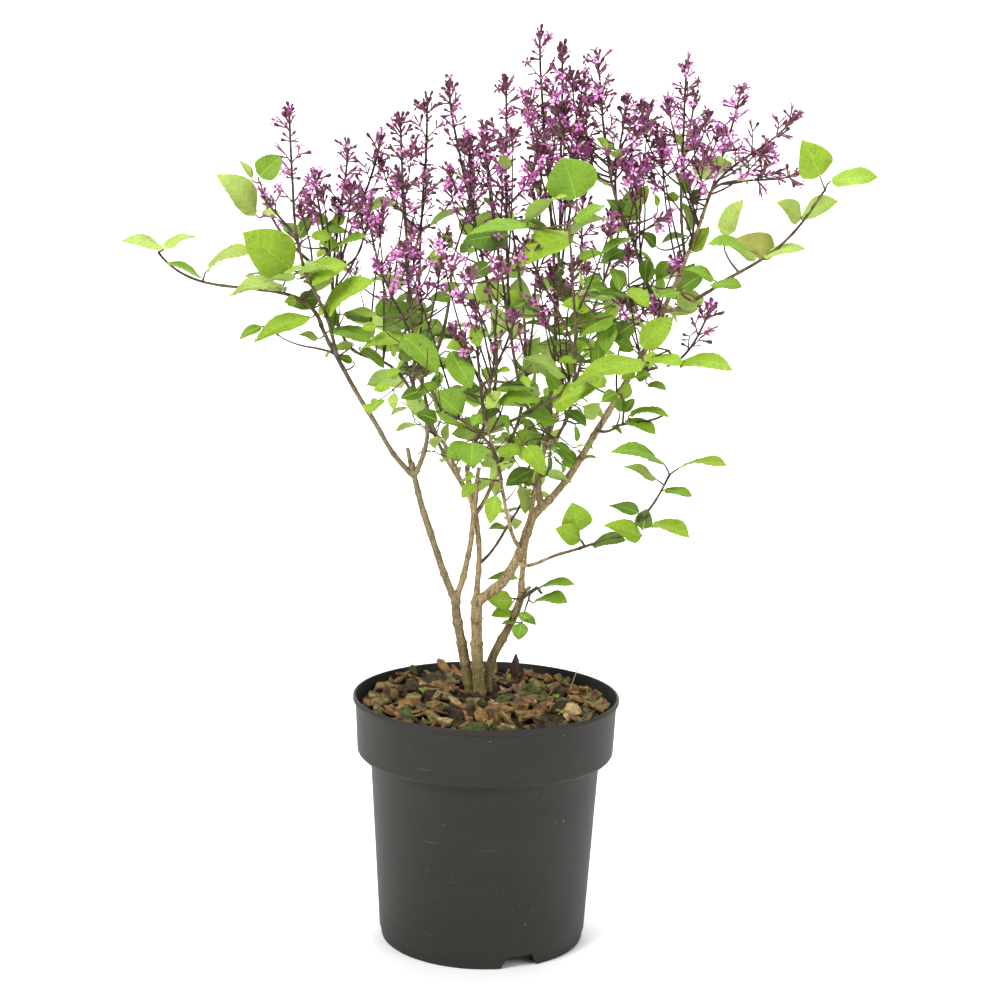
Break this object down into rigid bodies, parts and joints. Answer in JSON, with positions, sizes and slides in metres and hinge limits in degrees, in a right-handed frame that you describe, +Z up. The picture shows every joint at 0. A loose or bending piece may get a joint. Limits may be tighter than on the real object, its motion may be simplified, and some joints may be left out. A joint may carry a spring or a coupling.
{
  "type": "potted lilac shrub",
  "caption": "Many-stemmed flowering shrub with small oval leaves and slender upright panicles, standing in a round nursery pot with a wide collar.",
  "frame": {"origin": "centre of the pot's flat underside, at the level the pot stands on", "axes": "+Z up along the pot's axis, +X to the right and +Y to the back as seen from the front"},
  "size_m": [0.6178, 0.3243, 0.7786],
  "materials": {
    "pot_plastic": "charcoal moulded plastic, satin, faintly scuffed",
    "compost": "dark compost under a mulch of bark chips, matt",
    "old_bark": "grey-tan bark with pale lenticels and shallow fissures",
    "young_bark": "smooth purple-brown young bark",
    "foliage": "thin bright green leaf, satin, with paler veins",
    "blossom": "orchid petals on dark purple tubes and buds, matt"
  },
  "bodies": {
    "root": {"pot": "pot_plastic", "soil": "compost", "stem_left": "old_bark", "stem_middle": "old_bark", "stem_right": "old_bark", "left_outer": "old_bark", "left_far": "young_bark", "left_far_up": "young_bark", "left_mid": "young_bark", "left_cross": "young_bark", "left_mid_up": "young_bark", "left_inner": "old_bark", "left_inner_out": "young_bark", "left_inner_in": "young_bark", "right_bough": "old_bark", "right_upright": "old_bark", "upright_front": "young_bark", "upright_in": "young_bark", "right_long": "old_bark", "right_high_left": "young_bark", "right_high_pale": "young_bark", "right_high_dark": "young_bark", "right_reach": "young_bark", "right_side": "young_bark", "right_cross": "young_bark", "middle_back": "old_bark", "middle_back_up": "young_bark", "middle_back_out": "young_bark", "dark_twig": "young_bark", "front_twig": "young_bark", "front_side": "young_bark", "low_reach": "young_bark", "right_back": "old_bark", "right_spur": "young_bark", "far_left": "foliage", "outer_left": "blossom", "upper_left": "blossom", "front_left": "blossom", "inner_left": "blossom", "centre_left": "blossom", "centre": "blossom", "top": "blossom", "upper_right": "blossom", "right_dark": "blossom", "right_pale": "blossom", "far_right": "foliage", "right_middle": "foliage", "right_cross_spray": "foliage", "low_right": "foliage", "low_spur": "foliage", "front_leaves": "foliage", "front_centre": "blossom", "front_right": "foliage", "back_left": "blossom", "back_centre": "blossom", "back_right": "blossom", "back_low": "foliage"}
  },
  "joints": []
}
